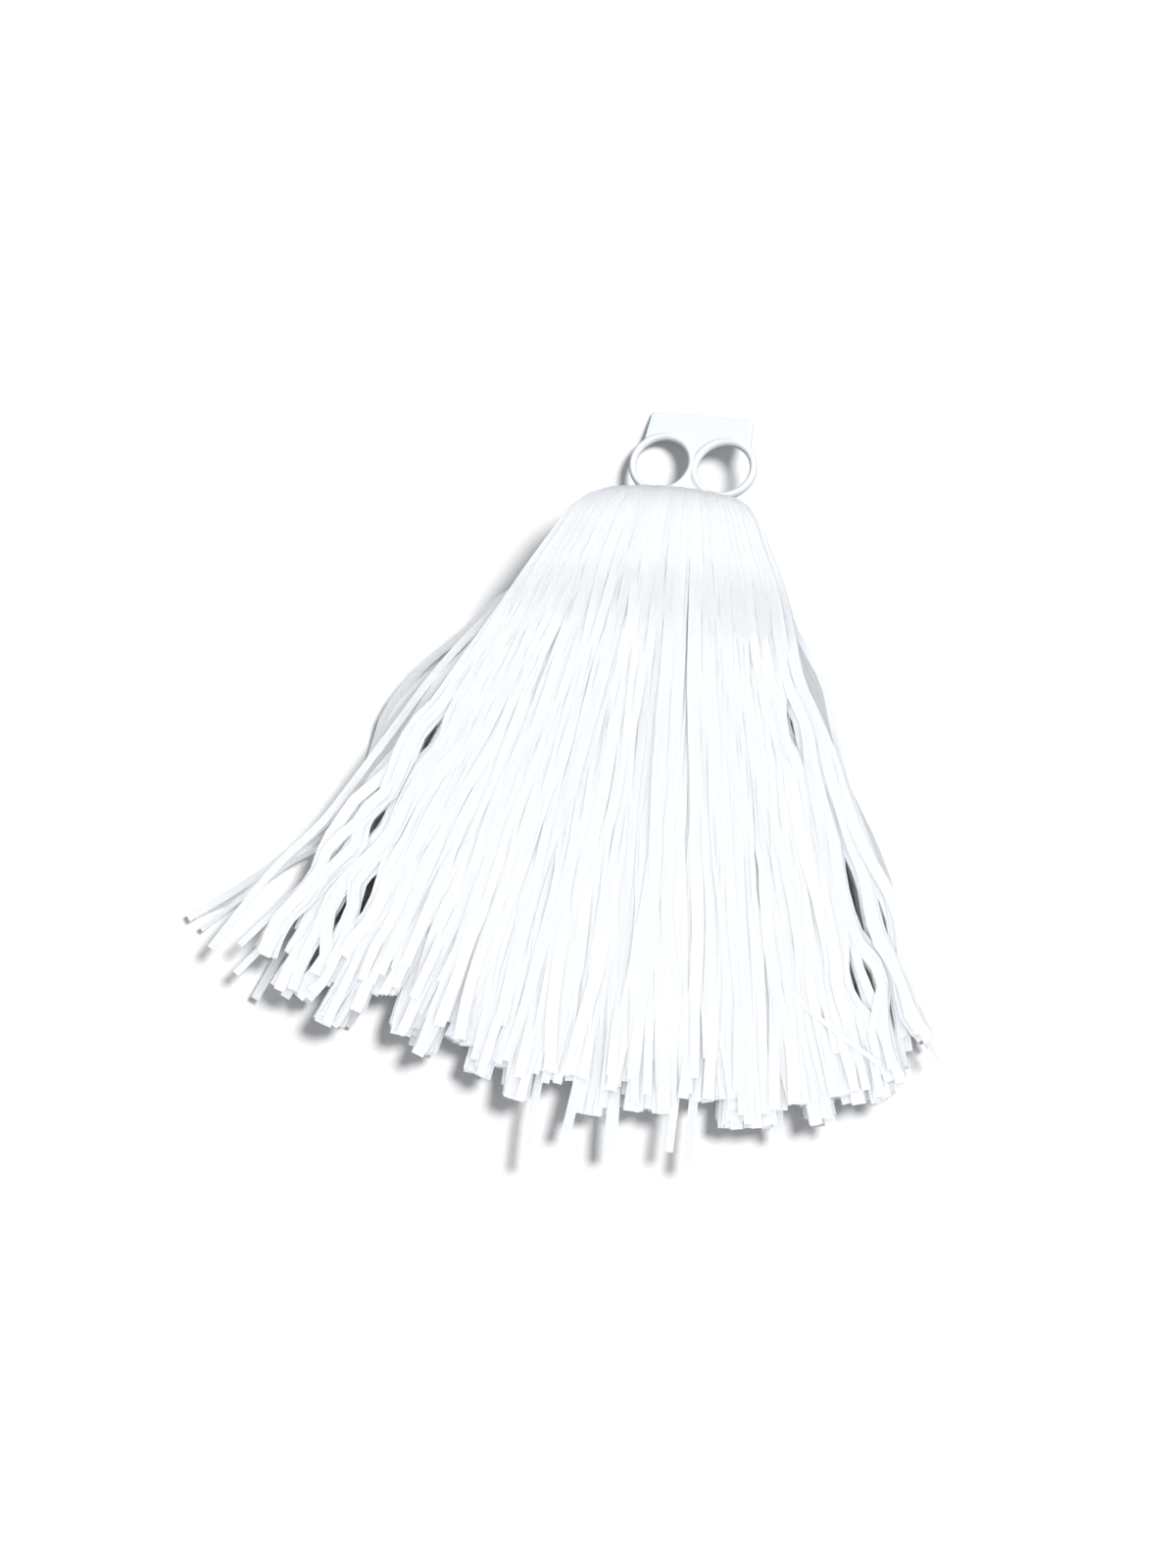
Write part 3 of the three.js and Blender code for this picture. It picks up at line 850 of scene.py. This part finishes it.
class POMPOM_OT_tissue(bpy.types.Operator):
    """Build the sixteen slit tissue sheets strip by strip"""

    bl_idname = "pompom.tissue"
    bl_label = "Build Tissue"

    def execute(self, context):
        settings = context.scene.pompom_tissue
        material = tissue_material(settings)
        for sheet in range(SHEET_COUNT):
            number = f"{sheet + 1:02d}"
            middle, across, out, half_width, camber, tone = sheet_strips(sheet, settings)
            made = ribbon_object(
                f"tissue_strips_{number}", middle, across, out, half_width, camber,
                settings.thickness / 2 / MM, tone,
            )
            made.data.materials.append(material)
            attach(made, "root")
            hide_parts(f"tissue_sheet_{number}")
        return {"FINISHED"}


def ring_outline(centre, radius, start, end, steps=48):
    """Points of an arc about centre, from start to end in radians."""
    turns = np.linspace(start, end, steps)
    return centre + radius * np.stack([np.cos(turns), np.sin(turns)], axis=-1)


def handle_outline(settings):
    """Outline of the handle's flat body and of its two holes, in the handle's own frame.

    The right half is the foot, stem and neck in straight lines, the ring as an arc about its hole's
    middle, and the plate's corner as a quarter turn. The left half mirrors it.
    """
    hole = settings.hole_diameter / 2
    ring = hole + settings.ring_band
    offset = hole + settings.web / 2
    inset = settings.ring_band / 4
    arc = ring - inset
    half = settings.plate_width / 2
    top = ring + settings.plate_rise
    tissue = bpy.context.scene.pompom_tissue
    outer_fold = tissue.fold_radius + (SHEETS_PER_FACE - 0.5) * tissue.sheet_pitch
    foot_top = -tissue.neck_end - outer_fold - tissue.header_length - settings.header_gap
    foot_end = foot_top - settings.foot_length
    taper = (settings.foot_width - settings.stem_width) / 2
    stem_top = -tissue.neck_end - (settings.neck_width - settings.stem_width) / 2
    plate_meets = math.acos((half + settings.plate_flare - offset) / arc)
    neck_meets = math.acos((offset - settings.neck_width / 2) / arc)
    right = np.array([offset, 0])
    corner = np.array([half - settings.corner, top - settings.corner])
    half_outline = np.concatenate([
        [
            (0, foot_end),
            (settings.foot_width / 2, foot_end),
            (settings.foot_width / 2, foot_top - taper),
            (settings.stem_width / 2, foot_top),
            (settings.stem_width / 2, stem_top),
            (settings.neck_width / 2, -tissue.neck_end),
        ],
        ring_outline(right, arc, math.pi + neck_meets, 2 * math.pi + plate_meets),
        ring_outline(corner, settings.corner, 0, math.pi / 2, 10),
        [(0, top)],
    ])
    mirrored = half_outline[-2:0:-1] * (-1, 1)
    outline = np.concatenate([half_outline, mirrored])
    holes = [
        ring_outline(side * right, hole + inset, 0, 2 * math.pi, RIM_POINTS + 1)[:-1] for side in (-1, 1)
    ]
    return [outline, *holes]


def ring_rim(settings):
    """Places and faces of a finger ring's rim about its hole's middle.

    The section is an oval as wide as the ring's band and as high as the ring, carried round the ring's
    middle line: the radius goes with the cosine of the place in the section, and the height with its sine.
    """
    turns = np.linspace(0, 2 * np.pi, RIM_POINTS + 1)[:-1, None]
    section = np.linspace(0, 2 * np.pi, SECTION_POINTS + 1)[None, :-1]
    radius = (settings.hole_diameter + settings.ring_band + settings.ring_band * np.cos(section)) / 2
    places = np.stack(np.broadcast_arrays(
        radius * np.cos(turns), radius * np.sin(turns), settings.ring_height / 2 * np.sin(section),
    ), axis=-1)
    index = np.arange(RIM_POINTS * SECTION_POINTS).reshape(RIM_POINTS, SECTION_POINTS)
    ahead = np.roll(index, -1, axis=0)
    faces = np.stack([index, ahead, np.roll(ahead, -1, axis=1), np.roll(index, -1, axis=1)], axis=-1)
    return places.reshape(-1, 3), faces.reshape(-1, 4)


class POMPOM_OT_handle(bpy.types.Operator):
    """Build the moulded handle with its rounded rims"""

    bl_idname = "pompom.handle"
    bl_label = "Build Handle"

    def execute(self, context):
        settings = context.scene.pompom_handle
        curve = bpy.data.curves.new("handle_outline", "CURVE")
        curve.dimensions = "2D"
        curve.fill_mode = "BOTH"
        curve.extrude = settings.thickness / 2 - settings.rounding
        curve.bevel_depth = settings.rounding
        curve.bevel_resolution = 2
        curve.offset = -settings.rounding
        for outline in handle_outline(settings):
            spline = curve.splines.new("POLY")
            spline.points.add(len(outline) - 1)
            rows = np.zeros((len(outline), 4))
            rows[:, :2] = outline
            rows[:, 3] = 1
            spline.points.foreach_set("co", rows.ravel())
            spline.use_cyclic_u = True
        flat = bpy.data.objects.new("handle_flat", curve)
        context.scene.collection.objects.link(flat)
        context.view_layer.update()
        body = bpy.data.meshes.new_from_object(flat.evaluated_get(context.evaluated_depsgraph_get()))
        bpy.data.objects.remove(flat)
        rim, rim_faces = ring_rim(settings)
        all_places = [np.array([vertex.co for vertex in body.vertices])]
        all_faces = [[list(polygon.vertices) for polygon in body.polygons]]
        offset = (settings.hole_diameter + settings.web) / 2
        for side in (-1, 1):
            start = sum(len(part) for part in all_places)
            all_places.append(rim + (side * offset, 0, 0))
            all_faces.append((rim_faces + start).tolist())
        turn, origin = lying_handle()
        joined = np.concatenate(all_places) @ turn.T + origin * MM
        mesh = bpy.data.meshes.new("handle_moulding")
        mesh.from_pydata(joined.tolist(), [], [face for part in all_faces for face in part])
        mesh.validate()
        made = bpy.data.objects.new("handle_moulding", mesh)
        context.scene.collection.objects.link(made)
        fused = made.modifiers.new("fused", "REMESH")
        fused.mode = "VOXEL"
        fused.voxel_size = settings.fineness
        fused.use_smooth_shade = True
        softened = made.modifiers.new("softened", "SMOOTH")
        softened.factor = 0.5
        softened.iterations = 3
        made.data.materials.append(plastic_material("white_polypropylene_satin", settings.colour, 0.36, 0.1))
        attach(made, "root")
        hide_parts("handle")
        return {"FINISHED"}


class POMPOM_OT_strap(bpy.types.Operator):
    """Finish the strap round the headers"""

    bl_idname = "pompom.strap"
    bl_label = "Finish Strap"

    def execute(self, context):
        colour = context.scene.pompom_strap.colour
        strap = frame["nodes"]["binding_strap"]
        strap.data.materials.clear()
        strap.data.materials.append(plastic_material("white_nylon_strap", colour, 0.45, 0.2))
        return {"FINISHED"}


class POMPOM_OT_stage(bpy.types.Operator):
    """Set up the table, the light and the camera that looks straight down"""

    bl_idname = "pompom.stage"
    bl_label = "Build Stage"

    def execute(self, context):
        settings = context.scene.pompom_stage
        scene = context.scene
        scene.view_settings.view_transform = "Standard"
        corners = [(x * TABLE_REACH, y * TABLE_REACH, 0) for x, y in ((-1, -1), (1, -1), (1, 1), (-1, 1))]
        mesh = bpy.data.meshes.new("table")
        mesh.from_pydata(corners, [], [(0, 1, 2, 3)])
        table = bpy.data.objects.new("table", mesh)
        scene.collection.objects.link(table)

        # White in the picture, and grey for the light that the table throws back
        material, tree = new_material("white_table")
        path = add_node(tree, "ShaderNodeLightPath")
        seen = add_node(tree, "ShaderNodeMix", {
            "Factor": path.outputs["Is Camera Ray"], "A": (0.35, 0.35, 0.35, 1), "B": settings.table_colour,
        }, data_type="RGBA")
        surface = add_node(tree, "ShaderNodeBsdfDiffuse", {"Color": seen.outputs["Result"]})
        add_node(tree, "ShaderNodeOutputMaterial", {"Surface": surface.outputs["BSDF"]})
        mesh.materials.append(material)

        # The table and the handle have a light with a clear shadow, and the tissue a softer one
        side = settings.sun_side + settings.turn
        tissue = [each for each in scene.objects if each.name.startswith("tissue_strips")]
        others = [each for each in scene.objects if each.type == "MESH" and each not in tissue]
        for name, height, strength, spread, lit in (
            ("studio_key", settings.sun_height, settings.sun_strength, settings.sun_spread, others),
            ("studio_softbox", settings.soft_height, settings.soft_strength, settings.soft_spread, tissue),
        ):
            flat = math.cos(height)
            towards = Vector((flat * math.cos(side), flat * math.sin(side), math.sin(height)))
            light = bpy.data.lights.new(name, "SUN")
            light.energy = strength
            light.angle = spread
            lamp = bpy.data.objects.new(name, light)
            lamp.rotation_euler = towards.to_track_quat("Z", "Y").to_euler()
            lamp.location = towards * LAMP_DISTANCE
            scene.collection.objects.link(lamp)
            receivers = bpy.data.collections.new(f"{name}_receivers")
            for each in lit:
                receivers.objects.link(each)
            lamp.light_linking.receiver_collection = receivers

        # A sky that lights the pom evenly and shows as plain white
        world = bpy.data.worlds.new("studio")
        world.use_nodes = True
        tree = world.node_tree
        tree.nodes.clear()
        path = add_node(tree, "ShaderNodeLightPath")
        glossy = add_node(tree, "ShaderNodeMath", {
            0: path.outputs["Is Camera Ray"], 1: path.outputs["Is Glossy Ray"],
        }, operation="MAXIMUM")
        shown = add_node(tree, "ShaderNodeMath", {
            0: glossy.outputs["Value"], 1: path.outputs["Is Transmission Ray"],
        }, operation="MAXIMUM")
        sky = add_node(tree, "ShaderNodeBackground", {
            "Color": settings.sky_colour, "Strength": settings.sky_strength,
        })
        white = add_node(tree, "ShaderNodeBackground", {"Color": linear("FFFFFF"), "Strength": 1})
        both = add_node(tree, "ShaderNodeMixShader", {
            "Fac": shown.outputs["Value"], 1: sky.outputs["Background"], 2: white.outputs["Background"],
        })
        add_node(tree, "ShaderNodeOutputWorld", {"Surface": both.outputs["Shader"]})
        scene.world = world

        # The camera looks straight down, with as long a lens as fills the picture's height
        lens = bpy.data.cameras.new("above")
        lens.sensor_fit = "VERTICAL"
        lens.sensor_height = 36
        lens.lens = lens.sensor_height * settings.distance / settings.view_height
        lens.clip_end = VIEW_END
        camera = bpy.data.objects.new("above", lens)
        origin = lying_handle()[1] * MM
        camera.location = (origin[0] + settings.aim_x, origin[1] + settings.aim_y, settings.distance)
        camera.rotation_euler = Euler((0, 0, settings.turn))
        scene.collection.objects.link(camera)
        scene.camera = camera
        return {"FINISHED"}


class POMPOM_PT_panel(bpy.types.Panel):
    """Buttons and sizes of the pom pom in the sidebar"""

    bl_idname = "POMPOM_PT_panel"
    bl_label = "Pom Pom"
    bl_space_type = "VIEW_3D"
    bl_region_type = "UI"
    bl_category = "Pom Pom"

    def draw(self, context):
        layout = self.layout
        layout.use_property_split = True
        for operator, settings in (
            ("pompom.handle", context.scene.pompom_handle),
            ("pompom.strap", context.scene.pompom_strap),
            ("pompom.tissue", context.scene.pompom_tissue),
            ("pompom.stage", context.scene.pompom_stage),
        ):
            layout.operator(operator)
            column = layout.column()
            for name in settings.__annotations__:
                column.prop(settings, name)


CLASSES = (
    TissueSettings,
    HandleSettings,
    StrapSettings,
    StageSettings,
    POMPOM_OT_tissue,
    POMPOM_OT_handle,
    POMPOM_OT_strap,
    POMPOM_OT_stage,
    POMPOM_PT_panel,
)


def register():
    """Registers the classes and hangs the settings on the scene."""
    for each in CLASSES:
        bpy.utils.register_class(each)
    bpy.types.Scene.pompom_tissue = PointerProperty(type=TissueSettings)
    bpy.types.Scene.pompom_handle = PointerProperty(type=HandleSettings)
    bpy.types.Scene.pompom_strap = PointerProperty(type=StrapSettings)
    bpy.types.Scene.pompom_stage = PointerProperty(type=StageSettings)


def unregister():
    """Takes the settings and the classes away again."""
    del bpy.types.Scene.pompom_stage
    del bpy.types.Scene.pompom_strap
    del bpy.types.Scene.pompom_handle
    del bpy.types.Scene.pompom_tissue
    for each in reversed(CLASSES):
        bpy.utils.unregister_class(each)


def main():
    """Builds everything."""
    register()
    bpy.ops.pompom.handle()
    bpy.ops.pompom.strap()
    bpy.ops.pompom.tissue()
    bpy.ops.pompom.stage()


if __name__ == "__main__":
    main()
